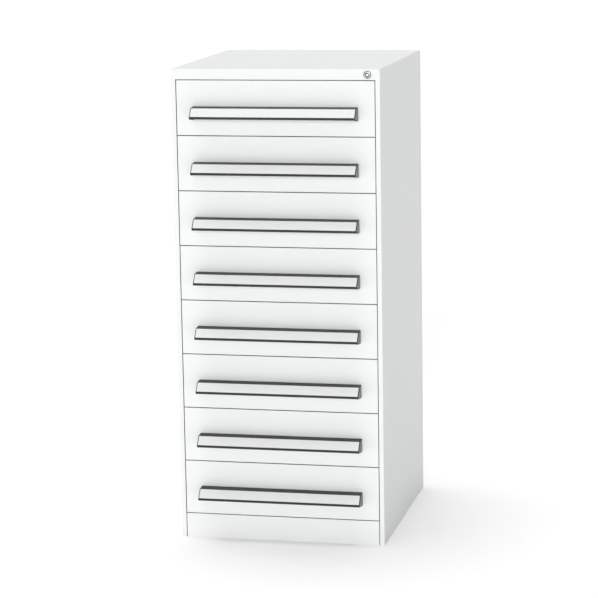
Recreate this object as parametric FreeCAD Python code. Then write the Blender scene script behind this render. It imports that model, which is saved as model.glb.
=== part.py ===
import FreeCAD, Part
import math
import os

# Tall steel tool cabinet: a folded sheet carcass with eight equal inset drawers on
# telescopic runners, a long angled pull with a label strip on each drawer, and one
# round key lock in the top rail that lifts a bar with a tooth for each drawer.
# Everything is drawn with the front plane at y = 0, y running to the back, and is
# moved at the end so that the origin is the bottom centre of the outer box.

# Overall sizes, in millimetres
width = 580.0
depth = 640.0
drawer_count = 8
drawer_pitch = 152.5
plinth_height = 70.0
top_rail_height = 30.0

# Carcass
carcass_sheet = 1.5
back_sheet = 1.0
base_sheet = 1.2
stile_width = 12.5
stile_return = 18.0
seam_gap = 2.0
bend_radius = 2.0
top_edge_radius = 1.2
rear_flange_width = 18.0
floor_flange_width = 20.0
welding_flange = 15.0
flange_gap = 2.0
plinth_flange = 35.0
plinth_end_return = 15.0

# Posts that carry the runners
post_width = 30.0
post_depth = 11.5
post_setback = 30.0
post_end_margin = 5.0

# Telescopic runners
runner_height = 45.0
runner_width = 12.7
runner_sheet = 1.2
runner_clearance = 0.3
runner_end_play = 1.0
runner_setback = 2.0
runner_rise = 21.0

# Drawers
front_depth = 16.0
front_sheet = 1.2
front_lip = 18.0
front_edge_radius = 1.2
tray_sheet = 1.0
tray_lift = 9.0
tray_headroom = 15.5
tray_hem = 8.0
rear_room = 52.0

# Pulls, each measured down from the seam over its drawer and out from the front
pull_length = 460.0
pull_drop = 72.0
pull_ledge_depth = 26.0
pull_ledge_fall = 2.0
pull_projection = 46.0
pull_face_height = 23.5
pull_lip_height = 5.5
pull_wall = 3.0
pull_end_wall = 2.5
pull_foot_height = 18.0
label_thickness = 1.0
label_recess = 1.2
label_border = 0.9
label_clearance = 0.2

# Lock
lock_inset = 34.0
barrel_radius = 9.0
hole_clearance = 0.1
barrel_flange_radius = 11.0
barrel_flange_height = 3.0
barrel_length = 17.7
plug_radius = 6.5
plug_clearance = 0.05
plug_stand = 0.8
key_slot_width = 1.6
key_slot_height = 7.5
key_slot_depth = 4.0
nut_wall = 2.0
nut_thickness = 4.5
cam_gap = 0.3
cam_thickness = 2.5
cam_hub_radius = 7.0
cam_square = 8.0
cam_square_clearance = 0.05
cam_end_wall = 2.0
cam_pin_radius = 2.0
cam_pin_overhang = 2.0
cam_half_turn = 45.0

# Lock bar
bar_gap = 1.5
bar_thickness = 3.0
bar_width = 8.0
bar_top_wall = 2.5
bar_arm_wall = 4.0
bar_foot_gap = 0.3
bar_head_gap = 0.8
slot_play = 0.1
tooth_height = 12.0
tooth_reach = 10.5
tooth_drop = 1.5
catch_height = 12.0
catch_thickness = 3.0
catch_gap = 1.5
catch_side_gap = 1.2
catch_below_rim = 15.0
catch_foot = 18.0
guide_wall = 1.2
guide_clearance = 0.3
guide_height = 16.0
guide_below_seam = 5.0

# Sizes that follow
height = plinth_height + drawer_count * drawer_pitch + top_rail_height
half_width = width / 2
inner_x = half_width - carcass_sheet
stile_x = half_width - stile_width
front_x = stile_x - seam_gap
post_x = inner_x - post_depth
tray_x = post_x - runner_width
top_under = height - carcass_sheet
rail_bottom = height - top_rail_height + seam_gap / 2
plinth_top = plinth_height - seam_gap / 2
base_top = plinth_top - carcass_sheet
base_front = stile_return + flange_gap
back_inner = depth - back_sheet
tray_depth = depth - rear_room - front_depth
tray_height = drawer_pitch - tray_headroom - tray_lift
runner_y = post_setback + runner_setback
runner_length = front_depth + tray_depth - runner_y - post_end_margin
rear_post_y = runner_y + runner_length - post_width - post_end_margin
lock_x = half_width - lock_inset
lock_z = height - top_rail_height / 2
cam_y = barrel_length + cam_gap
bar_y = cam_y + cam_thickness + bar_gap
bar_x = inner_x - guide_wall - guide_clearance - bar_width
half_turn = math.radians(cam_half_turn)


def box(x0, x1, y0, y1, z0, z1):
    """A block between two corners, given as ranges along x, y and z."""
    low = FreeCAD.Vector(min(x0, x1), min(y0, y1), min(z0, z1))
    return Part.makeBox(abs(x1 - x0), abs(y1 - y0), abs(z1 - z0), low)


def rod(radius, x, z, y0, y1):
    """A round bar along y."""
    return Part.makeCylinder(
        radius, y1 - y0, FreeCAD.Vector(x, y0, z), FreeCAD.Vector(0, 1, 0)
    )


def joined(first, *others):
    """One solid from pieces that meet."""
    return first.fuse(list(others)).removeSplitter()


def mirrored(shape):
    """The same piece on the other side of the cabinet."""
    return shape.mirror(FreeCAD.Vector(0, 0, 0), FreeCAD.Vector(1, 0, 0))


def edges_between(shape, low, high):
    """The edges whose two ends both lie inside a box."""
    found = []
    for edge in shape.Edges:
        points = [vertex.Point for vertex in edge.Vertexes]
        inside = all(
            low[n] <= point[n] <= high[n] for point in points for n in range(3)
        )
        if inside and len(points) == 2:
            found.append(edge)
    return found


def drawer_bottom(number):
    """Height of the seam under a drawer, where drawer 1 is the top one."""
    return plinth_height + (drawer_count - number) * drawer_pitch


def runner_centre(number):
    """Height of the middle of a drawer's runners."""
    return drawer_bottom(number) + tray_lift + runner_rise + runner_height / 2


def side_panel():
    """Right side, folded round into the front stile, rear flange and floor flange."""
    skin = box(inner_x, half_width, 0, depth, 0, top_under)
    stile = box(stile_x, half_width, 0, carcass_sheet, 0, top_under)
    inward = box(stile_x, stile_x + carcass_sheet, 0, stile_return, 0, top_under)
    rear = box(
        inner_x - rear_flange_width, inner_x,
        back_inner - carcass_sheet, back_inner,
        0, top_under,
    )
    foot = box(
        inner_x - floor_flange_width, inner_x,
        base_front, back_inner - carcass_sheet,
        0, carcass_sheet,
    )
    panel = joined(skin, stile, inward, rear, foot)
    near = carcass_sheet / 10
    corner = edges_between(
        panel,
        (half_width - near, -near, -near),
        (half_width + near, near, top_under + near),
    )
    return panel.makeFillet(bend_radius, corner)


def top_panel():
    """Top sheet with the front rail, the welding flanges and the hole for the lock."""
    sheet = box(-half_width, half_width, 0, depth, top_under, height)
    near = carcass_sheet / 10
    corners = edges_between(
        sheet, (-half_width - near, -near, 0), (half_width + near, near, height + near)
    )
    upright = [edge for edge in corners if edge.Length < carcass_sheet + near]
    sheet = sheet.makeFillet(bend_radius, upright)
    rim = [edge for edge in sheet.Edges if edge.BoundBox.ZMin > height - near]
    sheet = sheet.makeFillet(top_edge_radius, rim)
    rail = box(-stile_x, stile_x, 0, carcass_sheet, rail_bottom, top_under)
    lip = box(
        -stile_x, stile_x, 0, front_depth, rail_bottom, rail_bottom + carcass_sheet
    )
    notch_half = barrel_radius + nut_wall + flange_gap
    notch = box(
        lock_x - notch_half, lock_x + notch_half,
        carcass_sheet, front_depth,
        rail_bottom, rail_bottom + carcass_sheet,
    )
    side = box(
        inner_x - carcass_sheet, inner_x,
        post_setback + post_width + flange_gap, rear_post_y - flange_gap,
        top_under - welding_flange, top_under,
    )
    rear_x = inner_x - rear_flange_width - flange_gap
    rear = box(
        -rear_x, rear_x,
        back_inner - carcass_sheet, back_inner,
        top_under - welding_flange, top_under,
    )
    panel = joined(sheet, rail, lip.cut(notch), side, mirrored(side), rear)
    hole_radius = barrel_radius + hole_clearance
    return panel.cut(rod(hole_radius, lock_x, lock_z, 0, carcass_sheet))


def back_panel():
    """Plain back sheet, set between the two sides."""
    return box(-inner_x, inner_x, back_inner, depth, 0, top_under)


def base_panel():
    """Floor of the cabinet, under the lowest drawer, with its edges turned down."""
    end = back_inner - carcass_sheet
    plate = box(-inner_x, inner_x, base_front, end, base_top - base_sheet, base_top)
    edge = box(
        inner_x - base_sheet, inner_x,
        base_front, end,
        base_top - welding_flange, base_top,
    )
    return joined(plate, edge, mirrored(edge))


def plinth_panel():
    """Kick panel between the stiles, folded back along the top, ends and floor."""
    face = box(-front_x, front_x, 0, carcass_sheet, 0, plinth_top)
    top = box(-front_x, front_x, 0, plinth_flange, base_top, plinth_top)
    foot = box(-front_x, front_x, 0, front_depth, 0, carcass_sheet)
    end = box(front_x - carcass_sheet, front_x, 0, plinth_end_return, 0, plinth_top)
    return joined(face, top, foot, end, mirrored(end))


def post(y):
    """One upright channel on the right side, from the base to the top."""
    web = box(post_x, post_x + carcass_sheet, y, y + post_width, base_top, top_under)
    front = box(post_x, inner_x, y, y + carcass_sheet, base_top, top_under)
    rear = box(
        post_x, inner_x,
        y + post_width - carcass_sheet, y + post_width,
        base_top, top_under,
    )
    return joined(web, front, rear)


def bar_guide(number):
    """A loop on the front post that holds the lock bar beside one drawer."""
    top = drawer_bottom(number) + drawer_pitch - guide_below_seam
    low_x = bar_x - guide_clearance
    high_x = bar_x + bar_width + guide_clearance
    low_y = bar_y - guide_clearance
    high_y = bar_y + bar_thickness + guide_clearance
    block = box(
        low_x - guide_wall, inner_x,
        low_y - guide_wall, post_setback,
        top - guide_height, top,
    )
    return block.cut(box(low_x, high_x, low_y, high_y, top - guide_height, top))


def runner_posts():
    """Four posts, of which the front right one carries the guides of the lock bar."""
    guided = [1, (drawer_count + 2) // 2, drawer_count]
    right_front = joined(post(post_setback), *[bar_guide(n) for n in guided])
    right_rear = post(rear_post_y)
    left_front = mirrored(post(post_setback))
    return [right_front, right_rear, left_front, mirrored(right_rear)]


def channel(web_x, reach, half_height, centre_z):
    """A runner member: a web at web_x and two flanges that reach along x."""
    inward = math.copysign(runner_sheet, reach)
    end = runner_y + runner_length
    low = centre_z - half_height
    high = centre_z + half_height
    web = box(web_x, web_x + inward, runner_y, end, low, high)
    lower = box(web_x, web_x + reach, runner_y, end, low, low + runner_sheet)
    upper = box(web_x, web_x + reach, runner_y, end, high - runner_sheet, high)
    return joined(web, lower, upper)


outer_half = runner_height / 2
middle_half = outer_half - runner_sheet - runner_clearance
inner_half = middle_half - runner_sheet - runner_clearance
middle_x = post_x - runner_sheet - runner_clearance
middle_reach = middle_x - tray_x - runner_sheet - runner_end_play
inner_reach = middle_x - runner_sheet - runner_end_play - tray_x


def outer_members():
    """The fixed members of all the runners, one on each side of each drawer."""
    members = []
    for number in range(1, drawer_count + 1):
        member = channel(
            post_x, -middle_reach - runner_sheet, outer_half, runner_centre(number)
        )
        members += [member, mirrored(member)]
    return members


def middle_members(number):
    """The pair of sliding middle members of one drawer's runners."""
    member = channel(middle_x, -middle_reach, middle_half, runner_centre(number))
    return [member, mirrored(member)]


def inner_members(number):
    """The pair of runner members that are fixed to one drawer."""
    member = channel(tray_x, inner_reach, inner_half, runner_centre(number))
    return [member, mirrored(member)]


def drawer_tray(number):
    """The open box of one drawer, with hemmed rims and the catch for the lock bar."""
    low = drawer_bottom(number) + tray_lift
    rim = low + tray_height
    front = front_depth
    end = front_depth + tray_depth
    shell = box(-tray_x, tray_x, front, end, low, rim)
    inside = box(
        tray_sheet - tray_x, tray_x - tray_sheet,
        front + tray_sheet, end - tray_sheet,
        low + tray_sheet, rim,
    )
    side_hem = box(tray_x, tray_x + tray_sheet, front, end, rim - tray_hem, rim)
    rear_hem = box(-tray_x, tray_x, end, end + tray_sheet, rim - tray_hem, rim)
    catch_y = bar_y + bar_thickness + catch_gap
    catch_top = rim - catch_below_rim
    blade = box(
        tray_x, post_x - catch_side_gap,
        catch_y, catch_y + catch_thickness,
        catch_top - catch_height, catch_top,
    )
    foot = box(
        tray_x, tray_x + carcass_sheet,
        catch_y, catch_y + catch_foot,
        catch_top - catch_height, catch_top,
    )
    tray = shell.cut(inside)
    return joined(tray, side_hem, mirrored(side_hem), rear_hem, blade, foot)


def drawer_front(number):
    """A folded pan: face, four edges and a lip that bolts against the tray."""
    low = drawer_bottom(number) + seam_gap / 2
    high = low + drawer_pitch - seam_gap
    pan = box(-front_x, front_x, 0, front_depth, low, high)
    near = front_sheet / 10
    face_edges = edges_between(
        pan, (-front_x - near, -near, low - near), (front_x + near, near, high + near)
    )
    corners = [edge for edge in pan.Edges if abs(edge.Length - front_depth) < near]
    pan = pan.makeFillet(front_edge_radius, face_edges + corners)
    hollow = box(
        front_sheet - front_x, front_x - front_sheet,
        front_sheet, front_depth - front_sheet,
        low + front_sheet, high - front_sheet,
    )
    opening = box(
        front_lip - front_x, front_x - front_lip,
        front_depth - front_sheet, front_depth,
        low + front_lip, high - front_lip,
    )
    return pan.cut(hollow).cut(opening)


def prism(points, seam_z, half_length):
    """A bar along x whose section is given as (out from the front, down from a seam)."""
    corners = [FreeCAD.Vector(-half_length, -out, seam_z - down) for out, down in points]
    section = Part.Face(Part.makePolygon(corners + corners[:1]))
    return section.extrude(FreeCAD.Vector(2 * half_length, 0, 0))


# The slanted face of the pull runs from its ledge to its lip
face_top = (pull_ledge_depth, pull_drop + pull_ledge_fall)
face_foot = (pull_projection, face_top[1] + pull_face_height)
face_run = math.dist(face_top, face_foot)
along = tuple((b - a) / face_run for a, b in zip(face_top, face_foot))
lip_end = face_foot[1] + pull_lip_height


def face_point(distance, deep):
    """A point of the pull's section, along the slanted face and deep under it."""
    out = face_top[0] + along[0] * distance - along[1] * deep
    down = face_top[1] + along[1] * distance + along[0] * deep
    return out, down


def drawer_pull(number):
    """The moulded pull: ledge, slanted face, lip, foot plate and closed ends."""
    seam_z = drawer_bottom(number) + drawer_pitch
    top = (0, pull_drop)
    inner_foot = face_point(face_run, pull_wall)
    inner_down = inner_foot[1] + (
        pull_projection - pull_wall - inner_foot[0]
    ) * along[1] / along[0]
    ledge_under = pull_drop + pull_wall + pull_ledge_fall * pull_wall / pull_ledge_depth
    foot_end = pull_drop + pull_foot_height
    outline = [top, face_top, face_foot, (pull_projection, lip_end)]
    inside = [
        (pull_projection - pull_wall, lip_end),
        (pull_projection - pull_wall, inner_down),
        face_point(0.6 * pull_wall, pull_wall),
        (pull_wall, ledge_under),
        (pull_wall, foot_end),
        (0, foot_end),
    ]
    shell = prism(outline + inside, seam_z, pull_length / 2)
    cheek = prism(outline + [(0, lip_end)], seam_z, pull_end_wall / 2)
    offset = (pull_length - pull_end_wall) / 2
    right = cheek.translated(FreeCAD.Vector(offset, 0, 0))
    left = cheek.translated(FreeCAD.Vector(-offset, 0, 0))
    pull = joined(shell, right, left)
    recess = prism(
        [
            face_point(label_border, 0),
            face_point(face_run - label_border, 0),
            face_point(face_run - label_border, label_recess),
            face_point(label_border, label_recess),
        ],
        seam_z,
        pull_length / 2 - pull_end_wall,
    )
    return pull.cut(recess)


def drawer_label(number):
    """The pale label strip that slides into the recess of the pull."""
    start = label_border + label_clearance
    end = face_run - start
    return prism(
        [
            face_point(start, label_recess - label_thickness),
            face_point(end, label_recess - label_thickness),
            face_point(end, label_recess),
            face_point(start, label_recess),
        ],
        drawer_bottom(number) + drawer_pitch,
        pull_length / 2 - pull_end_wall - label_clearance,
    )


def lock_barrel():
    """The lock's housing, with its collar in front of the rail, and the nut behind."""
    collar = rod(barrel_flange_radius, lock_x, lock_z, -barrel_flange_height, 0)
    body = rod(barrel_radius, lock_x, lock_z, -barrel_flange_height, barrel_length)
    bore = rod(
        plug_radius + plug_clearance, lock_x, lock_z,
        -barrel_flange_height, barrel_length,
    )
    barrel = joined(collar, body).cut(bore)
    flat = barrel_radius + nut_wall
    corners = []
    for turn in range(7):
        angle = math.radians(60 * turn)
        reach = flat / math.cos(math.radians(30))
        corners.append(
            FreeCAD.Vector(
                lock_x + reach * math.cos(angle),
                carcass_sheet,
                lock_z + reach * math.sin(angle),
            )
        )
    hexagon = Part.Face(Part.makePolygon(corners))
    nut = hexagon.extrude(FreeCAD.Vector(0, nut_thickness, 0))
    hole = rod(
        barrel_radius, lock_x, lock_z, carcass_sheet, carcass_sheet + nut_thickness
    )
    return [barrel, nut.cut(hole)]


def lock_plug():
    """The turning plug with its key slot and the square end that carries the cam."""
    face = -barrel_flange_height - plug_stand
    plug = rod(plug_radius, lock_x, lock_z, face, barrel_length)
    half = cam_square / 2
    square = box(
        lock_x - half, lock_x + half,
        barrel_length, cam_y + cam_thickness,
        lock_z - half, lock_z + half,
    )
    key = box(
        lock_x - key_slot_width / 2, lock_x + key_slot_width / 2,
        face, face + key_slot_depth,
        lock_z - key_slot_height / 2, lock_z + key_slot_height / 2,
    )
    return joined(plug, square).cut(key)


# The cam's reach is what the rail leaves over the slot of the lock bar
slot_fault = math.sin(half_turn / 2) - math.sin(half_turn) / 2
cam_rise = (
    top_rail_height / 2 - carcass_sheet - bar_head_gap
    - bar_top_wall - slot_play - cam_pin_radius
) / (1 + slot_fault / math.sin(half_turn))
cam_reach = cam_rise / math.sin(half_turn)
slot_half = cam_pin_radius + slot_play + cam_reach * slot_fault


def lock_cam():
    """The cam on the plug, pointing down at rest, with the pin that lifts the bar."""
    end = cam_y + cam_thickness
    pin_x = lock_x + cam_rise / math.tan(half_turn)
    pin_z = lock_z - cam_rise
    tip_radius = cam_pin_radius + cam_end_wall
    hub = rod(cam_hub_radius, lock_x, lock_z, cam_y, end)
    tip = rod(tip_radius, pin_x, pin_z, cam_y, end)
    across = FreeCAD.Vector(math.sin(half_turn), 0, math.cos(half_turn)) * tip_radius
    centre = FreeCAD.Vector(lock_x, cam_y, lock_z)
    outer = FreeCAD.Vector(pin_x, cam_y, pin_z)
    corners = [centre - across, outer - across, outer + across, centre + across]
    arm = Part.Face(Part.makePolygon(corners + corners[:1]))
    arm = arm.extrude(FreeCAD.Vector(0, cam_thickness, 0))
    bar_end = bar_y + bar_thickness
    pin = rod(cam_pin_radius, pin_x, pin_z, end, bar_end + cam_pin_overhang)
    half = cam_square / 2 + cam_square_clearance
    hole = box(lock_x - half, lock_x + half, cam_y, end, lock_z - half, lock_z + half)
    return joined(hub, tip, arm, pin).cut(hole)


def lock_bar():
    """The upright bar, its slotted arm at the top and a welded tooth for each drawer."""
    end_y = bar_y + bar_thickness
    slot_z = lock_z - cam_rise
    top = slot_z + slot_half + bar_top_wall
    near_x = lock_x + cam_rise / math.tan(half_turn)
    far_x = lock_x + cam_reach
    slot_low = near_x - cam_pin_radius - guide_clearance
    slot_high = far_x + cam_pin_radius + guide_clearance
    strip = box(bar_x, bar_x + bar_width, bar_y, end_y, base_top + bar_foot_gap, top)
    arm = box(
        slot_low - bar_arm_wall, bar_x,
        bar_y, end_y,
        slot_z - slot_half - bar_arm_wall, top,
    )
    slot = box(
        slot_low, slot_high, bar_y, end_y, slot_z - slot_half, slot_z + slot_half
    )
    teeth = []
    for number in range(1, drawer_count + 1):
        rim = drawer_bottom(number) + tray_lift + tray_height
        tooth_top = rim - catch_below_rim - catch_height - tooth_drop
        teeth.append(
            box(
                bar_x - tooth_reach, bar_x,
                bar_y, end_y,
                tooth_top - tooth_height, tooth_top,
            )
        )
    return [strip, arm.cut(slot), *teeth]


def export(name, shapes):
    """Write one node, moved so that the origin is the bottom centre of the box."""
    shape = shapes if isinstance(shapes, Part.Shape) else Part.makeCompound(shapes)
    shape = shape.copy()
    shape.translate(FreeCAD.Vector(0, (pull_projection - depth) / 2, 0))
    shape.exportStep("parts/" + name + ".step")


os.makedirs("parts", exist_ok=True)
right_side = side_panel()
export("right_side_panel", right_side)
export("left_side_panel", mirrored(right_side))
export("top_panel", top_panel())
export("back_panel", back_panel())
export("base_panel", base_panel())
export("plinth_panel", plinth_panel())
export("runner_posts", runner_posts())
export("runner_outer_members", outer_members())
export("lock_barrel", lock_barrel())
export("lock_plug", lock_plug())
export("lock_cam", lock_cam())
export("lock_bar", lock_bar())
for drawer in range(1, drawer_count + 1):
    prefix = "drawer_" + str(drawer) + "_"
    export(prefix + "tray", drawer_tray(drawer))
    export(prefix + "front", drawer_front(drawer))
    export(prefix + "handle", drawer_pull(drawer))
    export(prefix + "label", drawer_label(drawer))
    export(prefix + "runner_inner", inner_members(drawer))
    export(prefix + "runner_middle", middle_members(drawer))
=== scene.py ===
import math

import bmesh
import bpy
from mathutils import Matrix, Vector


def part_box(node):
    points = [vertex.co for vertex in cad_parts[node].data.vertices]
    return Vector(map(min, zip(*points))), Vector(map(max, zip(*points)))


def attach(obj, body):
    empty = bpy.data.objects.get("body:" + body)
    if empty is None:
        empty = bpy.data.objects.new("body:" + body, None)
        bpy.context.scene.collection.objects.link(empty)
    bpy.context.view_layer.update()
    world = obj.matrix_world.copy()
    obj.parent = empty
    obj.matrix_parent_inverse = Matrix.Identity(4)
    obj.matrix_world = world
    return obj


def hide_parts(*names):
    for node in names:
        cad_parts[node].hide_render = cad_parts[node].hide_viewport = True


bl_info = {
    "name": "Tool Cabinet",
    "version": (1, 0, 0),
    "blender": (4, 5, 0),
    "location": "View3D > Sidebar > Tool Cabinet",
    "description": "Dresses a drawer tool cabinet with its paint, pulls, labels and lock",
    "category": "Object",
}

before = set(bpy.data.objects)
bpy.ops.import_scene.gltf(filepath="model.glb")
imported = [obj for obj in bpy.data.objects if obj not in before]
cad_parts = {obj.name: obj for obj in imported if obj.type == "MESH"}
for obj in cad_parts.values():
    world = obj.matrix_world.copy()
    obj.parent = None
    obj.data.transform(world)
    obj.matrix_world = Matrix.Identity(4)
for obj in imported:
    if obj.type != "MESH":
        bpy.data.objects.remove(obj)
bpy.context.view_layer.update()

MM = 0.001
CABINET = "cabinet"
DRAWERS = range(1, sum(name.endswith("_front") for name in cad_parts) + 1)
FRONT_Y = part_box("drawer_1_front")[0].y
COLLAR_LOW, COLLAR_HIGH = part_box("lock_barrel")
PLUG_LOW, PLUG_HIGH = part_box("lock_plug")
PULL_LOW, PULL_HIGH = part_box("drawer_1_handle")
LOCK_X = (PLUG_LOW.x + PLUG_HIGH.x) / 2
LOCK_Z = (PLUG_LOW.z + PLUG_HIGH.z) / 2
SIDE_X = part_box("right_side_panel")[1].x
TOP_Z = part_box("top_panel")[1].z
BEVEL_FROM = math.radians(30)
FINE_EDGE = 0.12 * MM
SOFT_EDGE = 0.2 * MM
NUT_EDGE = 0.3 * MM


# Sizes and colours that a user would change


def length(name, description, millimetres):
    """A size in the sidebar, given in millimetres."""
    return bpy.props.FloatProperty(
        name=name,
        description=description,
        default=millimetres * MM,
        min=0.0,
        precision=4,
        subtype="DISTANCE",
        unit="LENGTH",
    )


def colour(name, description, values):
    """A colour in the sidebar."""
    return bpy.props.FloatVectorProperty(
        name=name,
        description=description,
        default=values,
        size=3,
        min=0.0,
        max=1.0,
        subtype="COLOR",
    )


class CabinetSizes(bpy.types.PropertyGroup):
    """Sizes of the pieces that are drawn here."""

    ledge_depth: length("Ledge depth", "How far the pull's top ledge stands out", 26.0)
    ledge_fall: length("Ledge fall", "How far the ledge drops over its depth", 2.0)
    face_height: length("Face height", "Height of the pull's slanted face", 23.5)
    pull_wall: length("Pull wall", "Wall of the moulded pull", 3.0)
    pull_end: length("Pull end wall", "Thickness of each closed end", 2.5)
    end_plate: length("End plate", "Thickness of the plate on each end", 0.7)
    end_border: length("End border", "Dark border round the end plate", 2.2)
    end_step: length("End step", "How far each closed end hangs behind the lip", 1.2)
    end_drop: length("End drop", "How far each closed end hangs at the drawer", 6.5)
    foot_height: length("Foot height", "Height of the plate against the drawer", 18.0)
    pull_edge: length("Pull edge", "Rounding of the pull's moulded edges", 0.7)
    label_recess: length("Label recess", "Depth of the recess for the label", 1.2)
    label_border: length("Label border", "Dark border above and below the label", 0.9)
    label_lip: length("Label lip", "How much wider the border below the label is", 0.6)
    label_thickness: length("Label thickness", "Thickness of the label strip", 1.0)
    label_clearance: length("Label clearance", "Gap round the label strip", 0.2)
    collar_radius: length("Collar radius", "Radius of the lock's collar", 10.2)
    barrel_radius: length("Barrel radius", "Radius of the lock's threaded body", 9.0)
    plug_radius: length("Plug radius", "Radius of the lock's turning plug", 6.5)
    key_width: length("Key slot width", "Width of the key slot", 1.6)
    key_height: length("Key slot height", "Height of the key slot", 7.5)
    screw_radius: length("Screw radius", "Radius of the screw heads on the back", 4.6)
    rivet_radius: length("Rivet radius", "Radius of the rivets in the runners", 3.6)


class CabinetFinish(bpy.types.PropertyGroup):
    """Colours of the finishes."""

    paint: colour("Paint", "Off-white powder coat", (0.838, 0.856, 0.842))
    tray: colour("Tray paint", "Light grey powder coat inside", (0.56, 0.58, 0.58))
    pull: colour("Pull", "Dark grey moulded plastic", (0.011, 0.012, 0.013))
    pull_end: colour("Pull end plate", "Mid grey end plates", (0.165, 0.17, 0.17))
    label: colour("Label", "Pale label strip", (0.740, 0.747, 0.762))
    zinc: colour("Zinc", "Plated runners and posts", (0.56, 0.58, 0.60))
    nickel: colour("Nickel", "Plated lock", (0.60, 0.60, 0.58))
    floor: colour("Floor", "Pale studio floor", (0.93, 0.93, 0.93))


# Shader maths


class Value:
    """A socket that carries a number, so that shader maths reads as an expression."""

    def __init__(self, graph, socket):
        self.graph = graph
        self.socket = socket

    def combine(self, operation, *others):
        """The Math node that joins this value and others."""
        node = self.graph.add("ShaderNodeMath", {"operation": operation}, [self, *others])
        return Value(self.graph, node.outputs[0])

    def __add__(self, other):
        return self.combine("ADD", other)

    __radd__ = __add__

    def __mul__(self, other):
        return self.combine("MULTIPLY", other)

    __rmul__ = __mul__

    def __sub__(self, other):
        return self.combine("SUBTRACT", other)

    def __rsub__(self, other):
        return self.combine("MULTIPLY_ADD", -1.0, other)

    def __truediv__(self, other):
        return self.combine("DIVIDE", other)

    def __abs__(self):
        return self.combine("ABSOLUTE")

    def least(self, other):
        """The smaller of two values."""
        return self.combine("MINIMUM", other)

    def most(self, other):
        """The larger of two values."""
        return self.combine("MAXIMUM", other)

    def ramp(self, low, high, start=0.0, end=1.0):
        """Start below low and end above high, with a smooth step between."""
        node = self.graph.add(
            "ShaderNodeMapRange",
            {"interpolation_type": "SMOOTHSTEP"},
            [self, low, high, start, end],
        )
        return Value(self.graph, node.outputs[0])


class Graph:
    """A tree of nodes, and the ways to add and link them."""

    def __init__(self, tree):
        self.tree = tree

    def add(self, kind, settings=None, inputs=()):
        """A node of any kind: its settings, then the values or links of its sockets."""
        node = self.tree.nodes.new(kind)
        for key, value in (settings or {}).items():
            setattr(node, key, value)
        pairs = inputs.items() if isinstance(inputs, dict) else enumerate(inputs)
        for key, value in pairs:
            self.feed(node.inputs[key], value)
        return node

    def feed(self, socket, value):
        """Link a socket, or set it to a plain value."""
        if isinstance(value, Value):
            self.tree.links.new(value.socket, socket)
        elif isinstance(value, bpy.types.NodeSocket):
            self.tree.links.new(value, socket)
        else:
            socket.default_value = value

    def axes(self, output="Object"):
        """The three coordinates as values."""
        coordinates = self.add("ShaderNodeTexCoord")
        split = self.add("ShaderNodeSeparateXYZ", None, [coordinates.outputs[output]])
        return [Value(self, socket) for socket in split.outputs]


class Finish(Graph):
    """A material and its nodes."""

    def __init__(self, name, metallic=0.0, specular=0.5):
        self.material = bpy.data.materials.new(name)
        self.material.use_nodes = True
        super().__init__(self.material.node_tree)
        self.shader = self.tree.nodes["Principled BSDF"]
        self.shader.inputs["Metallic"].default_value = metallic
        self.shader.inputs["Specular IOR Level"].default_value = specular

    def place(self, scale=(1.0, 1.0, 1.0)):
        """Coordinates in metres on the piece, stretched by a scale."""
        coordinates = self.add("ShaderNodeTexCoord")
        node = self.add(
            "ShaderNodeVectorMath",
            {"operation": "MULTIPLY"},
            [coordinates.outputs["Object"], scale],
        )
        return node.outputs[0]

    def noise(self, scale, detail=3.0, stretch=(1.0, 1.0, 1.0), roughness=0.5):
        """Noise whose features measure about one metre over the scale."""
        inputs = {
            "Vector": self.place(stretch),
            "Scale": scale,
            "Detail": detail,
            "Roughness": roughness,
        }
        node = self.add("ShaderNodeTexNoise", None, inputs)
        return Value(self, node.outputs[0])

    def cells(self, scale, stretch=(1.0, 1.0, 1.0)):
        """A random value for each cell of a foam."""
        inputs = {"Vector": self.place(stretch), "Scale": scale}
        node = self.add("ShaderNodeTexVoronoi", None, inputs)
        split = self.add("ShaderNodeSeparateColor", None, [node.outputs["Color"]])
        return Value(self, split.outputs[0])

    def mix(self, first, second, factor):
        """A colour between two others."""
        node = self.add("ShaderNodeMix", {"data_type": "RGBA"}, {"Factor": factor})
        self.feed(node.inputs[6], first)
        self.feed(node.inputs[7], second)
        return node.outputs[2]

    def tint(self, values, factor):
        """A colour made darker or lighter by a value."""
        node = self.add(
            "ShaderNodeVectorMath",
            {"operation": "SCALE"},
            {"Vector": values, "Scale": factor},
        )
        return node.outputs[0]

    def edges(self, reach):
        """One along the piece's convex and concave edges, fading out within a reach."""
        turned_far, turned_little = 0.80, 0.995
        rounded = self.add("ShaderNodeBevel", {"samples": 4}, {"Radius": reach})
        plain = self.add("ShaderNodeNewGeometry")
        turn = self.add(
            "ShaderNodeVectorMath",
            {"operation": "DOT_PRODUCT"},
            [rounded.outputs[0], plain.outputs["Normal"]],
        )
        cosine = Value(self, turn.outputs["Value"])
        return cosine.ramp(turned_far, turned_little, 1.0, 0.0)

    def bump(self, height, distance):
        """The normal over a height, whose full range is distance metres."""
        inputs = {"Height": height, "Distance": distance, "Strength": 1.0}
        return self.add("ShaderNodeBump", None, inputs).outputs[0]

    def finish(self, base, roughness, normal):
        """Feed the shader and return the material."""
        self.feed(self.shader.inputs["Base Color"], base)
        self.feed(self.shader.inputs["Roughness"], roughness)
        self.feed(self.shader.inputs["Normal"], normal)
        return self.material


def rgba(values):
    """A colour property as four plain numbers."""
    return (*values, 1.0)


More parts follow.
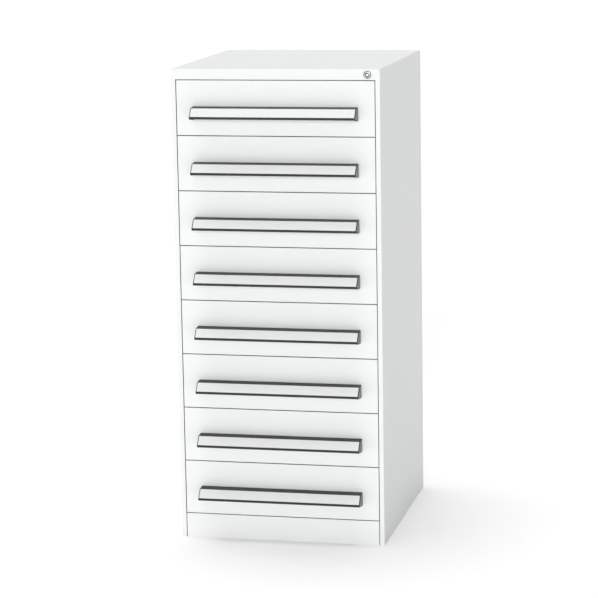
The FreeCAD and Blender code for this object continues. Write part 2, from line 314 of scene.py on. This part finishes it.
def powder_coat(name, values, peel=0.00006):
    """Satin powder coat: orange peel, cloudy tone, handling marks, rubbed edges and painted
    shade in the seams.
    """
    seam_shade_strength, dusty_height, rub_reach = 0.62, 0.09, 0.0016
    graph = Finish(name)
    cloud = graph.noise(2.2, 4.0)
    speck = graph.noise(900.0, 2.0)
    marks = graph.noise(14.0, 6.0, (1.0, 1.0, 2.5), 0.65).ramp(0.60, 0.78)
    base = graph.tint(values, 0.975 + cloud * 0.035 + speck * 0.012)
    # Painted shade: darkens the folded edges inside the seams, where the gaps fall into
    # shade.
    base = graph.tint(base, 1.0 - seam_shade(graph) * seam_shade_strength)
    height = graph.axes()[2]
    dust = height.ramp(0.0, dusty_height, 1.0, 0.0)
    dust = dust * (0.35 + graph.noise(30.0, 5.0) * 0.9)
    rub = graph.edges(rub_reach) * graph.noise(60.0, 5.0).ramp(0.40, 0.62)
    worn = tuple(part * 0.80 for part in values)
    base = graph.mix(base, rgba(worn), (dust * 0.14 + rub * 0.35).least(1.0))
    roughness = 0.51 + cloud * 0.06 + marks * 0.10 + dust * 0.08 + rub * 0.12
    return graph.finish(base, roughness, graph.bump(graph.noise(430.0, 2.0), peel))


def seam_shade(graph):
    """Painted shade: one on the folded edges that face each other in the seams, close
    behind the front.
    """
    starts, full, fades, gone = 0.4 * MM, 1.2 * MM, 4.0 * MM, 15.0 * MM
    inside, outside = 1.5 * MM, 0.5 * MM
    x, y, z = graph.axes()
    folded = abs(graph.axes("Normal")[1]).ramp(0.4, 0.8, 1.0, 0.0)
    behind = y - FRONT_Y
    deep = behind.ramp(starts, full) * behind.ramp(fades, gone, 1.0, 0.0)
    inner = abs(x).ramp(SIDE_X - inside, SIDE_X - outside, 1.0, 0.0)
    under = z.ramp(TOP_Z - inside, TOP_Z - outside, 1.0, 0.0)
    return folded * deep * inner * under


def zinc_plate(name, values):
    """Bright zinc on rolled steel: long rolling streaks, faint spangle, dull patches, and
    painted shade for the holes in the runner webs.
    """
    graph = Finish(name, metallic=1.0)
    streak = graph.noise(280.0, 4.0, (1.0, 0.03, 1.0))
    spangle = graph.cells(160.0)
    cloud = graph.noise(7.0, 4.0)
    bright = graph.edges(0.0012)
    tone = 0.70 + streak * 0.24 + spangle * 0.14 + cloud * 0.10 + bright * 0.16
    # Painted shade: dark discs stand in for the holes in the runner webs.
    hole_shade = web_hole_shade(graph)
    base = graph.tint(values, tone * (1.0 - hole_shade * 0.93))
    roughness = 0.20 + streak * 0.18 + cloud * 0.12 + spangle * 0.08 + hole_shade * 0.4
    height = streak + graph.noise(300.0, 3.0) * 0.5 - hole_shade * 6.0
    return graph.finish(base, roughness, graph.bump(height, 0.00004))


def web_hole_shade(graph):
    """Painted shade: one inside the round holes, drawn as dark discs, along the webs of the
    sliding runner members.
    """
    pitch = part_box("drawer_1_front")[0].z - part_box("drawer_2_front")[0].z
    low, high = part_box("drawer_1_runner_middle")
    spacing, radius, soft = 64.0 * MM, 3.2 * MM, 0.3 * MM
    web_back, web_inner = 1.4 * MM, 1.0 * MM
    web_face, web_past = 0.1 * MM, 0.3 * MM
    x, y, z = graph.axes()
    along = (y - low.y).combine("WRAP", spacing, 0.0) - spacing / 2
    across = (z - low.z - (high.z - low.z - pitch) / 2).combine("WRAP", pitch, 0.0)
    across = across - pitch / 2
    away = (along * along + across * across).combine("SQRT")
    sliding = abs(x).ramp(high.x - web_back, high.x - web_inner, 0.0, 1.0)
    sliding = sliding * abs(x).ramp(high.x + web_face, high.x + web_past, 1.0, 0.0)
    return away.ramp(radius - soft, radius, 1.0, 0.0) * sliding


def moulded_plastic(name, values):
    """Dark moulded plastic: fine spark grain, flow marks and edges rubbed paler."""
    graph = Finish(name, specular=0.45)
    grain = graph.noise(1500.0, 2.0)
    flow = graph.noise(9.0, 3.0, (0.4, 1.0, 1.0))
    scuff = graph.noise(120.0, 6.0, (0.25, 1.0, 1.0), 0.7).ramp(0.60, 0.80)
    base = graph.tint(values, 0.88 + flow * 0.20 + grain * 0.10)
    paler = tuple(part * 2.2 + 0.01 for part in values)
    rub = graph.edges(0.0012) * graph.noise(80.0, 4.0).ramp(0.35, 0.60)
    base = graph.mix(base, rgba(paler), (scuff * 0.22 + rub * 0.5).least(1.0))
    roughness = 0.42 + flow * 0.10 + grain * 0.06 + scuff * 0.08 - rub * 0.06
    return graph.finish(base, roughness, graph.bump(grain, 0.00005))


def label_sheet(name, values):
    """A pale card strip under clear film: soft fibre, faint waves, a satin coat, and
    painted shade that darkens it with height.
    """
    graph = Finish(name)
    graph.shader.inputs["Coat Roughness"].default_value = 0.12
    fibre = graph.noise(700.0, 5.0, (0.3, 1.0, 1.0))
    wave = graph.noise(6.0, 2.0, (1.0, 0.2, 0.2))
    height = graph.axes()[2]
    # Painted shade: the labels are darker the higher they sit, and the top label darker
    # still.
    height_shade = height.ramp(0.1, 1.1, 0.0, 0.06) + height.ramp(1.15, 1.20, 0.0, 0.07)
    base = graph.tint(values, 1.025 + fibre * 0.04 + wave * 0.03 - height_shade)
    scratch = graph.noise(260.0, 6.0, (0.12, 1.0, 1.0), 0.75).ramp(0.64, 0.80)
    roughness = 0.30 + fibre * 0.06 + scratch * 0.16
    graph.feed(graph.shader.inputs["Coat Weight"], 0.20 - scratch * 0.12)
    return graph.finish(base, roughness, graph.bump(wave + fibre * 0.1, 0.00012))


def nickel_plate(name, values):
    """Plated die casting: turned rings round the lock's axis, fine wear, and painted shade
    in the groove, round the dish and on the collar's rim.
    """
    rings_per_metre, groove_out, dish_in = 9000.0, 0.35 * MM, 2.0 * MM
    rim_start, rim_full = 1.9 * MM, 1.1 * MM
    sizes = bpy.context.scene.cabinet_sizes
    plug, collar = sizes.plug_radius, sizes.collar_radius
    graph = Finish(name, metallic=1.0)
    x, _, z = graph.axes()
    across = (x - LOCK_X) * (x - LOCK_X) + (z - LOCK_Z) * (z - LOCK_Z)
    radius = across.combine("SQRT")
    ring = (radius * rings_per_metre).combine("SINE")
    grime = graph.noise(400.0, 5.0)
    # Painted shade: dark rings in the groove round the plug, round the dish of its face and
    # on the chamfer of the collar.
    groove_shade = abs(radius - plug - groove_out).ramp(0.2 * MM, 0.5 * MM, 0.50, 0.0)
    dish_shade = abs(radius - plug + dish_in).ramp(0.8 * MM, 1.2 * MM, 0.95, 0.0)
    rim_shade = radius.ramp(collar - rim_start, collar - rim_full, 0.0, 0.93)
    dark = groove_shade.most(dish_shade).most(rim_shade)
    # The painted shade of the three rings darkens the plating's colour.
    base = graph.tint(values, (0.90 + ring * 0.03 + grime * 0.20) * (1.0 - dark))
    roughness = 0.22 + ring * 0.03 + grime * 0.16 + dark * 0.30
    return graph.finish(base, roughness, graph.bump(ring + grime * 0.6, 0.000012))


def floor_finish(name, values):
    """A matt pale floor with the faintest mottling and a little glow of its own."""
    glow = 0.15
    graph = Finish(name, specular=0.1)
    graph.shader.inputs["Emission Color"].default_value = rgba(values)
    graph.shader.inputs["Emission Strength"].default_value = glow
    cloud = graph.noise(0.7, 3.0)
    base = graph.tint(values, 0.992 + cloud * 0.014)
    roughness = 0.85 + cloud * 0.05
    grain = graph.noise(220.0, 2.0)
    return graph.finish(base, roughness, graph.bump(grain, 0.00004))


def finish_named(kind):
    """The material of one finish, made the first time that it is asked for."""
    name = f"{kind}_finish"
    found = bpy.data.materials.get(name)
    if found is not None:
        return found
    colours = bpy.context.scene.cabinet_finish
    makers = {
        "cabinet_paint": lambda: powder_coat(name, tuple(colours.paint)),
        "tray_paint": lambda: powder_coat(name, tuple(colours.tray), peel=0.00004),
        "zinc_steel": lambda: zinc_plate(name, tuple(colours.zinc)),
        "handle_plastic": lambda: moulded_plastic(name, tuple(colours.pull)),
        "end_plastic": lambda: moulded_plastic(name, tuple(colours.pull_end)),
        "label_strip": lambda: label_sheet(name, tuple(colours.label)),
        "lock_metal": lambda: nickel_plate(name, tuple(colours.nickel)),
        "studio_floor": lambda: floor_finish(name, tuple(colours.floor)),
    }
    return makers[kind]()


# Meshes


def dress(node, kind):
    """Give a carried-over node its finish."""
    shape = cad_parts[node]
    shape.data.materials.clear()
    shape.data.materials.append(finish_named(kind))


def put(name, mesh, kind, body, edge=0.0, segments=2):
    """A new piece with its finish, its rounded edges and its place on a body."""
    piece = bpy.data.objects.new(name, mesh)
    bpy.context.scene.collection.objects.link(piece)
    mesh.materials.append(finish_named(kind))
    for face in mesh.polygons:
        face.use_smooth = True
    if edge > 0.0:
        bevel = piece.modifiers.new("rounded_edges", "BEVEL")
        bevel.width = edge
        bevel.segments = segments
        bevel.limit_method = "ANGLE"
        bevel.angle_limit = BEVEL_FROM
        bevel.harden_normals = True
    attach(piece, body)
    return piece


def mesh_of(name, work):
    """A mesh from edited geometry, with its faces turned outward."""
    bmesh.ops.recalc_face_normals(work, faces=work.faces)
    mesh = bpy.data.meshes.new(name)
    work.to_mesh(mesh)
    work.free()
    return mesh


def extruded(section, low, high):
    """Geometry of a section of (y, z) points carried along x."""
    work = bmesh.new()
    near = [work.verts.new((low, y, z)) for y, z in section]
    far = [work.verts.new((high, y, z)) for y, z in section]
    count = len(section)
    work.faces.new(near)
    work.faces.new(far[::-1])
    for n in range(count):
        after = (n + 1) % count
        work.faces.new((near[n], far[n], far[after], near[after]))
    bmesh.ops.recalc_face_normals(work, faces=work.faces)
    return work


def shrunk(outline, border):
    """A convex outline of (out, down) points, moved inward by a border."""
    points = [Vector(point) for point in outline]
    edges = []
    for start, end in zip(points, points[1:] + points[:1]):
        along = (end - start).normalized()
        inward = Vector((-along.y, along.x)) * border
        edges.append((start + inward, end + inward))
    corners = []
    for before, after in zip(edges[-1:] + edges, edges):
        corners.append(tuple(crossing(before, after)))
    return corners


def crossing(first, second):
    """Where the lines through two pairs of points cross."""
    start, run = first[0], first[1] - first[0]
    other, slope = second[0], second[1] - second[0]
    share = (other - start).cross(slope) / run.cross(slope)
    return start + run * share


def turned(profile, steps=96):
    """Geometry of a closed (radius, y) profile turned round the lock's axis."""
    on_axis, join_within = 0.02 * MM, 0.05 * MM
    work = bmesh.new()
    rings = []
    for n in range(steps):
        angle = 2 * math.pi * n / steps
        x, z = math.cos(angle), math.sin(angle)
        rings.append(
            [work.verts.new((LOCK_X + r * x, y, LOCK_Z + r * z)) for r, y in profile]
        )
    count = len(profile)
    for n, ring in enumerate(rings):
        other = rings[(n + 1) % steps]
        for k in range(count):
            after = (k + 1) % count
            work.faces.new((ring[k], ring[after], other[after], other[k]))
    centre = Vector((LOCK_X, 0.0, LOCK_Z))
    flat = Vector((1, 0, 1))
    inner = [v for v in work.verts if (v.co * flat - centre).length < on_axis]
    bmesh.ops.remove_doubles(work, verts=inner, dist=join_within)
    return work


def carve(mesh, cutters):
    """Cut shapes out of a mesh and return the result, without slivers, as a new mesh."""
    sliver = 0.01 * MM
    body = bpy.data.objects.new("carved", mesh)
    bpy.context.scene.collection.objects.link(body)
    tools = []
    for work in cutters:
        tool = bpy.data.objects.new("cutter", mesh_of("cutter", work))
        bpy.context.scene.collection.objects.link(tool)
        cut = body.modifiers.new("cut", "BOOLEAN")
        cut.operation = "DIFFERENCE"
        cut.solver = "EXACT"
        cut.object = tool
        tools.append(tool)
    bpy.context.view_layer.update()
    graph = bpy.context.evaluated_depsgraph_get()
    result = bpy.data.meshes.new_from_object(body.evaluated_get(graph))
    for used in (body, *tools):
        bpy.data.objects.remove(used)
    work = bmesh.new()
    work.from_mesh(result)
    bmesh.ops.dissolve_degenerate(work, dist=sliver, edges=work.edges)
    work.to_mesh(result)
    work.free()
    return result


def block(work, low, size):
    """Add a box to the geometry, from its low corner and its size."""
    made = bmesh.ops.create_cube(work, size=1.0)["verts"]
    bmesh.ops.scale(work, vec=size, verts=made)
    bmesh.ops.translate(work, vec=low + size / 2, verts=made)


def dome(work, radius, centre, facing, axis="y", rise=0.45):
    """Add a low domed head on a flat foot, which faces along x or y."""
    steps, levels = 24, 4
    rings = []
    for level in range(levels):
        lift = math.pi / 2 * level / levels
        reach = radius * math.cos(lift)
        out = radius * rise * math.sin(lift) * facing
        ring = []
        for n in range(steps):
            turn = 2 * math.pi * n / steps
            side, up = reach * math.cos(turn), reach * math.sin(turn)
            offset = (side, out, up) if axis == "y" else (out, side, up)
            ring.append(work.verts.new(centre + Vector(offset)))
        rings.append(ring)
    peak = radius * rise * facing
    top = (0, peak, 0) if axis == "y" else (peak, 0, 0)
    tip = work.verts.new(centre + Vector(top))
    work.faces.new(rings[0])
    for lower, upper in zip(rings, rings[1:]):
        for n in range(steps):
            after = (n + 1) % steps
            work.faces.new((lower[n], lower[after], upper[after], upper[n]))
    for n in range(steps):
        work.faces.new((rings[-1][n], rings[-1][(n + 1) % steps], tip))


class PullSection:
    """The section of the pull, in metres out from the drawer and down from its top."""

    def __init__(self, sizes):
        self.sizes = sizes
        self.reach = FRONT_Y - PULL_LOW.y
        self.fall = PULL_HIGH.z - PULL_LOW.z
        self.face_top = Vector((sizes.ledge_depth, sizes.ledge_fall))
        self.face_foot = self.face_top + Vector(
            (self.reach - sizes.ledge_depth, sizes.face_height)
        )
        self.face_run = (self.face_foot - self.face_top).length
        self.along = (self.face_foot - self.face_top) / self.face_run

    def on_face(self, distance, deep):
        """A point along the slanted face and deep under it."""
        inward = Vector((-self.along.y, self.along.x))
        return self.face_top + self.along * distance + inward * deep

    def outline(self):
        """The outer shape of the pull and its closed ends, which hang below the lip."""
        behind_lip = 0.5 * MM
        step = self.reach - self.sizes.pull_wall - behind_lip
        return [
            (0.0, 0.0),
            tuple(self.face_top),
            tuple(self.face_foot),
            (self.reach, self.fall),
            (step, self.fall),
            (step, self.fall + self.sizes.end_step),
            (0.0, self.fall + self.sizes.end_drop),
        ]

    def cavity(self):
        """The finger gap, open below and behind the foot plate."""
        wall = self.sizes.pull_wall
        past = 2.0 * MM
        top_share = 0.6
        foot = self.on_face(self.face_run, wall)
        lip = self.reach - wall
        lip_down = foot.y + (lip - foot.x) * self.along.y / self.along.x
        slope = self.sizes.ledge_fall / self.sizes.ledge_depth
        below = self.fall + self.sizes.end_drop + past
        return [
            (lip, below),
            (lip, lip_down),
            tuple(self.on_face(top_share * wall, wall)),
            (wall, wall * (1 + slope)),
            (wall, self.sizes.foot_height),
            (-past, self.sizes.foot_height),
            (-past, below),
        ]

    def recess(self, start, deep, shallow):
        """A slanted strip of the face, between two depths under it."""
        end = self.face_run - start - self.sizes.label_lip
        corners = [(start, shallow), (end, shallow), (end, deep), (start, deep)]
        return [tuple(self.on_face(*corner)) for corner in corners]

    def placed(self, points, top):
        """The points as (y, z) for a pull whose top is at this height."""
        return [(FRONT_Y - out, top - down) for out, down in points]


# Operators


class CABINET_OT_carcass(bpy.types.Operator):
    """Paint the shell of the cabinet and set the screws of its back"""

    bl_idname = "cabinet.carcass"
    bl_label = "Carcass"

    def execute(self, context):
        painted = (
            "left_side_panel",
            "right_side_panel",
            "top_panel",
            "back_panel",
            "base_panel",
            "plinth_panel",
        )
        for node in painted:
            dress(node, "cabinet_paint")
        self.back_screws(context.scene.cabinet_sizes.screw_radius)
        return {"FINISHED"}

    def back_screws(self, radius):
        """Domed heads with a cross, up both edges of the back and along its ends."""
        low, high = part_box("back_panel")
        inset, end_inset, rows = 14.0 * MM, 40.0 * MM, 7
        columns, slot, edge = 4, 0.9 * MM, 0.1 * MM
        arm, deep, lift = radius * 0.62, radius * 0.5, radius * 0.45
        spots = []
        for n in range(rows):
            z = low.z + end_inset + (high.z - low.z - 2 * end_inset) * n / (rows - 1)
            spots += [(low.x + inset, z), (high.x - inset, z)]
        for n in range(1, columns):
            x = low.x + (high.x - low.x) * n / columns
            spots += [(x, low.z + inset), (x, high.z - inset)]
        heads = bmesh.new()
        for x, z in spots:
            dome(heads, radius, Vector((x, high.y, z)), 1.0)
        cutters = []
        for wide, tall in ((2 * arm, slot), (slot, 2 * arm)):
            size = Vector((wide, 2 * deep, tall))
            arms = bmesh.new()
            for x, z in spots:
                block(arms, Vector((x, high.y + lift, z)) - size / 2, size)
            cutters.append(arms)
        mesh = carve(mesh_of("back_screws", heads), cutters)
        put("back_screws", mesh, "zinc_steel", CABINET, edge, 1)


class CABINET_OT_runners(bpy.types.Operator):
    """Plate the posts, the telescopic runners, the lock bar and its cam"""

    bl_idname = "cabinet.runners"
    bl_label = "Posts and runners"

    def execute(self, context):
        plated = ["runner_posts", "runner_outer_members", "lock_bar", "lock_cam"]
        for number in DRAWERS:
            plated += [
                f"drawer_{number}_runner_inner",
                f"drawer_{number}_runner_middle",
            ]
        for node in plated:
            dress(node, "zinc_steel")
        for number in DRAWERS:
            self.rivets(number, context.scene.cabinet_sizes.rivet_radius)
        return {"FINISHED"}

    def rivets(self, number, radius):
        """The rivets that hold the two inner members of one drawer to its tray."""
        hem, sheet = 1.0 * MM, 1.2 * MM
        shares = (0.06, 0.35, 0.65, 0.94)
        low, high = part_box(f"drawer_{number}_runner_inner")
        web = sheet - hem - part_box(f"drawer_{number}_tray")[0].x
        z = (low.z + high.z) / 2
        heads = bmesh.new()
        for share in shares:
            y = low.y + (high.y - low.y) * share
            for side in (1, -1):
                dome(heads, radius, Vector((side * web, y, z)), side, axis="x")
        name = f"runner_rivets_{number}"
        mesh = mesh_of(name, heads)
        put(name, mesh, "zinc_steel", f"drawer_{number}")


class CABINET_OT_drawers(bpy.types.Operator):
    """Paint the trays and the fronts of the drawers"""

    bl_idname = "cabinet.drawers"
    bl_label = "Drawers"

    def execute(self, context):
        for number in DRAWERS:
            dress(f"drawer_{number}_tray", "tray_paint")
            dress(f"drawer_{number}_front", "cabinet_paint")
        return {"FINISHED"}


class CABINET_OT_pulls(bpy.types.Operator):
    """Mould the pulls and slide in their label strips"""

    bl_idname = "cabinet.pulls"
    bl_label = "Pulls and labels"

    def execute(self, context):
        sizes = context.scene.cabinet_sizes
        section = PullSection(sizes)
        for number in DRAWERS:
            self.pull(section, sizes, number)
            self.label(section, sizes, number)
        return {"FINISHED"}

    def pull(self, section, sizes, number):
        """One dark pull with its finger gap and the recess for the label."""
        node = f"drawer_{number}_handle"
        low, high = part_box(node)
        start, end = low.x + sizes.end_plate, high.x - sizes.end_plate
        inner = (low.x + sizes.pull_end, high.x - sizes.pull_end)
        outer = extruded(section.placed(section.outline(), high.z), start, end)
        gap = extruded(section.placed(section.cavity(), high.z), *inner)
        strip = section.recess(sizes.label_border, sizes.label_recess, -sizes.label_recess)
        recess = extruded(section.placed(strip, high.z), *inner)
        mesh = carve(mesh_of(node, outer), [gap, recess])
        piece = put(
            f"pull_{number}", mesh, "handle_plastic", f"drawer_{number}",
            sizes.pull_edge / 2,
        )
        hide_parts(node)
        self.end_plates(section, sizes, number, ((low.x, start), (end, high.x)))

    def end_plates(self, section, sizes, number, spans):
        """A thin mid-grey plate, raised a little on each closed end of one pull."""
        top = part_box(f"drawer_{number}_handle")[1].z
        outline = shrunk(section.outline(), sizes.end_border)
        for side, span in zip(("left", "right"), spans):
            name = f"pull_{number}_{side}_end"
            work = extruded(section.placed(outline, top), *span)
            put(
                name, mesh_of(name, work), "end_plastic", f"drawer_{number}",
                SOFT_EDGE,
            )

    def label(self, section, sizes, number):
        """One pale strip, seated in the recess of its pull."""
        node = f"drawer_{number}_label"
        low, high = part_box(node)
        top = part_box(f"drawer_{number}_handle")[1].z
        start = sizes.label_border + sizes.label_clearance
        front = sizes.label_recess - sizes.label_thickness
        strip = section.recess(start, sizes.label_recess, front)
        work = extruded(section.placed(strip, top), low.x, high.x)
        piece = put(
            f"label_{number}", mesh_of(node, work), "label_strip", f"drawer_{number}",
            SOFT_EDGE,
        )
        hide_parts(node)


class CABINET_OT_lock(bpy.types.Operator):
    """Turn the lock's collar and plug, with the key slot and the nut behind"""

    bl_idname = "cabinet.lock"
    bl_label = "Lock"

    def execute(self, context):
        sizes = context.scene.cabinet_sizes
        self.collar(sizes)
        self.nut(sizes)
        self.plug(sizes)
        return {"FINISHED"}

    def collar(self, sizes):
        """The housing: a chamfered collar with a sunk ring, and the body behind."""
        clearance, ring_depth = 0.05 * MM, 2.2 * MM
        ring_floor, ring_mouth = 0.5 * MM, 0.8 * MM
        chamfer_in, chamfer_back = 1.2 * MM, 1.3 * MM
        shoulder_in, shoulder_back = 0.3 * MM, 0.5 * MM
        bore = sizes.plug_radius + clearance
        face = COLLAR_LOW.y
        outer = sizes.collar_radius
        profile = [
            (bore, COLLAR_HIGH.y),
            (bore, face + ring_depth),
            (bore + ring_floor, face + ring_depth),
            (bore + ring_mouth, face),
            (outer - chamfer_in, face),
            (outer - shoulder_in, face + shoulder_back),
            (outer, face + chamfer_back),
            (outer, FRONT_Y),
            (sizes.barrel_radius, FRONT_Y),
            (sizes.barrel_radius, COLLAR_HIGH.y),
        ]
        mesh = mesh_of("lock_collar", turned(profile))
        piece = put("lock_collar", mesh, "lock_metal", CABINET, FINE_EDGE)
        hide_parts("lock_barrel")

    def nut(self, sizes):
        """The hexagon nut that draws the collar against the rail."""
        rail, thickness, sides = 1.5 * MM, 4.5 * MM, 6
        flat = (COLLAR_HIGH.z - COLLAR_LOW.z) / 2
        corner = flat / math.cos(math.pi / sides)
        work = bmesh.new()
        rings = []
        for depth in (rail, rail + thickness):
            outer, inner = [], []
            for n in range(sides):
                turn = 2 * math.pi * n / sides
                for store, reach in ((outer, corner), (inner, sizes.barrel_radius)):
                    x = LOCK_X + reach * math.cos(turn)
                    z = LOCK_Z + reach * math.sin(turn)
                    store.append(work.verts.new((x, FRONT_Y + depth, z)))
            rings.append((outer, inner))
        (near_out, near_in), (far_out, far_in) = rings
        for n in range(sides):
            after = (n + 1) % sides
            work.faces.new((near_out[n], near_out[after], far_out[after], far_out[n]))
            work.faces.new((near_in[n], far_in[n], far_in[after], near_in[after]))
            work.faces.new((near_out[n], near_in[n], near_in[after], near_out[after]))
            work.faces.new((far_out[n], far_out[after], far_in[after], far_in[n]))
        mesh = mesh_of("lock_nut", work)
        put("lock_nut", mesh, "lock_metal", CABINET, NUT_EDGE)

    def plug(self, sizes):
        """The plug: a dished face with the key slot, and the square tail."""
        dish_depth, dish_in, rim_in = 0.5 * MM, 1.9 * MM, 1.4 * MM
        chamfer_in, chamfer_back = 0.5 * MM, 0.6 * MM
        slot_through, half = 8.0 * MM, 4.0 * MM
        tiny = 0.01 * MM
        radius = sizes.plug_radius
        face = PLUG_LOW.y
        end = COLLAR_HIGH.y
        profile = [
            (tiny, end),
            (tiny, face + dish_depth),
            (radius - dish_in, face + dish_depth),
            (radius - rim_in, face),
            (radius - chamfer_in, face),
            (radius, face + chamfer_back),
            (radius, end),
        ]
        slot = bmesh.new()
        size = Vector((sizes.key_width, slot_through, sizes.key_height))
        block(slot, Vector((LOCK_X, face, LOCK_Z)) - size / 2, size)
        mesh = carve(mesh_of("lock_plug_face", turned(profile)), [slot])
        piece = put(
            "lock_plug_face", mesh, "lock_metal", "lock_plug", FINE_EDGE,
        )
        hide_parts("lock_plug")
        tail = bmesh.new()
        size = Vector((2 * half, PLUG_HIGH.y - end, 2 * half))
        block(tail, Vector((LOCK_X - half, end, LOCK_Z - half)), size)
        mesh = mesh_of("lock_plug_tail", tail)
        put("lock_plug_tail", mesh, "lock_metal", "lock_plug", NUT_EDGE)


class CABINET_OT_stage(bpy.types.Operator):
    """Lay the floor, set the soft studio light and stand the camera"""

    bl_idname = "cabinet.stage"
    bl_label = "Stage"

    def execute(self, context):
        self.floor()
        self.light(context.scene)
        self.camera(context.scene)
        return {"FINISHED"}

    def floor(self):
        """A wide pale floor, large enough to fill the background."""
        half = 120.0
        work = bmesh.new()
        corners = [(-half, -half), (half, -half), (half, half), (-half, half)]
        work.faces.new([work.verts.new((x, y, 0.0)) for x, y in corners])
        floor = bpy.data.objects.new("floor", mesh_of("floor", work))
        bpy.context.scene.collection.objects.link(floor)
        floor.data.materials.append(finish_named("studio_floor"))

    def light(self, scene):
        """A room that is bright behind the cabinet, and soft lights ahead and above."""
        scene.world = bpy.data.worlds.new("studio")
        scene.world.use_nodes = True
        graph = Graph(scene.world.node_tree)
        _, y, z = graph.axes("Generated")
        dim, bright = 0.10, 1.0
        behind = y.ramp(0.55, 0.92, dim, bright)
        horizon = abs(z).ramp(0.15, 0.24, bright, dim)
        sky = graph.tree.nodes["Background"]
        sky.inputs["Color"].default_value = (1.0, 1.0, 1.0, 1.0)
        graph.feed(sky.inputs["Strength"], behind.most(horizon))
        aim_ahead = Vector((-0.05, 0.98, -0.17))
        aim_down = Vector((0.14, -0.03, -1.0))
        self.lamp(scene, "ahead", aim_ahead, strength=1.27, spread=20.0)
        self.lamp(scene, "above", aim_down, strength=2.24, spread=50.0)

    def lamp(self, scene, name, aim, strength, spread):
        """One broad soft light that shines along a direction, spread in degrees."""
        data = bpy.data.lights.new(name, "SUN")
        data.energy = strength
        data.angle = math.radians(spread)
        lamp = bpy.data.objects.new(name, data)
        lamp.rotation_euler = aim.to_track_quat("-Z", "Y").to_euler()
        scene.collection.objects.link(lamp)

    def camera(self, scene):
        """The photo's view, worked out from the corners and seams of the cabinet."""
        place = Vector((1.4760, FRONT_Y - 6.2541, 1.8786))
        turn = math.radians(12.772)
        tilt = math.radians(10.498)
        roll = math.radians(-0.965)
        focal_pixels, picture_pixels, sensor = 2379.3, 598, 36.0
        ahead = Vector(
            (
                -math.sin(turn) * math.cos(tilt),
                math.cos(turn) * math.cos(tilt),
                -math.sin(tilt),
            )
        )
        level = ahead.cross(Vector((0, 0, 1))).normalized()
        upright = level.cross(ahead)
        right = level * math.cos(roll) + upright * math.sin(roll)
        up = upright * math.cos(roll) - level * math.sin(roll)
        data = bpy.data.cameras.new("camera")
        data.sensor_width = sensor
        data.lens = focal_pixels * sensor / picture_pixels
        data.clip_end = 500.0
        camera = bpy.data.objects.new("camera", data)
        scene.collection.objects.link(camera)
        axes = Matrix((right, up, -ahead)).transposed().to_4x4()
        camera.matrix_world = Matrix.Translation(place) @ axes
        scene.camera = camera
        scene.view_settings.view_transform = "Standard"


class CABINET_PT_panel(bpy.types.Panel):
    """Lists what the cabinet is made of"""

    bl_idname = "CABINET_PT_panel"
    bl_label = "Tool Cabinet"
    bl_space_type = "VIEW_3D"
    bl_region_type = "UI"
    bl_category = "Tool Cabinet"

    def draw(self, context):
        for step in STEPS:
            self.layout.operator(step.bl_idname)
        for group in (context.scene.cabinet_sizes, context.scene.cabinet_finish):
            column = self.layout.column()
            for key in group.bl_rna.properties.keys():
                if key not in ("rna_type", "name"):
                    column.prop(group, key)


STEPS = (
    CABINET_OT_carcass,
    CABINET_OT_runners,
    CABINET_OT_drawers,
    CABINET_OT_pulls,
    CABINET_OT_lock,
    CABINET_OT_stage,
)
CLASSES = (CabinetSizes, CabinetFinish, *STEPS, CABINET_PT_panel)


def register():
    """Add the classes and the two groups of settings."""
    for kind in CLASSES:
        bpy.utils.register_class(kind)
    bpy.types.Scene.cabinet_sizes = bpy.props.PointerProperty(type=CabinetSizes)
    bpy.types.Scene.cabinet_finish = bpy.props.PointerProperty(type=CabinetFinish)


def unregister():
    """Take them away again."""
    del bpy.types.Scene.cabinet_finish
    del bpy.types.Scene.cabinet_sizes
    for kind in reversed(CLASSES):
        bpy.utils.unregister_class(kind)


def main():
    """Build every piece in order."""
    register()
    bpy.ops.cabinet.carcass()
    bpy.ops.cabinet.runners()
    bpy.ops.cabinet.drawers()
    bpy.ops.cabinet.pulls()
    bpy.ops.cabinet.lock()
    bpy.ops.cabinet.stage()


if __name__ == "__main__":
    main()
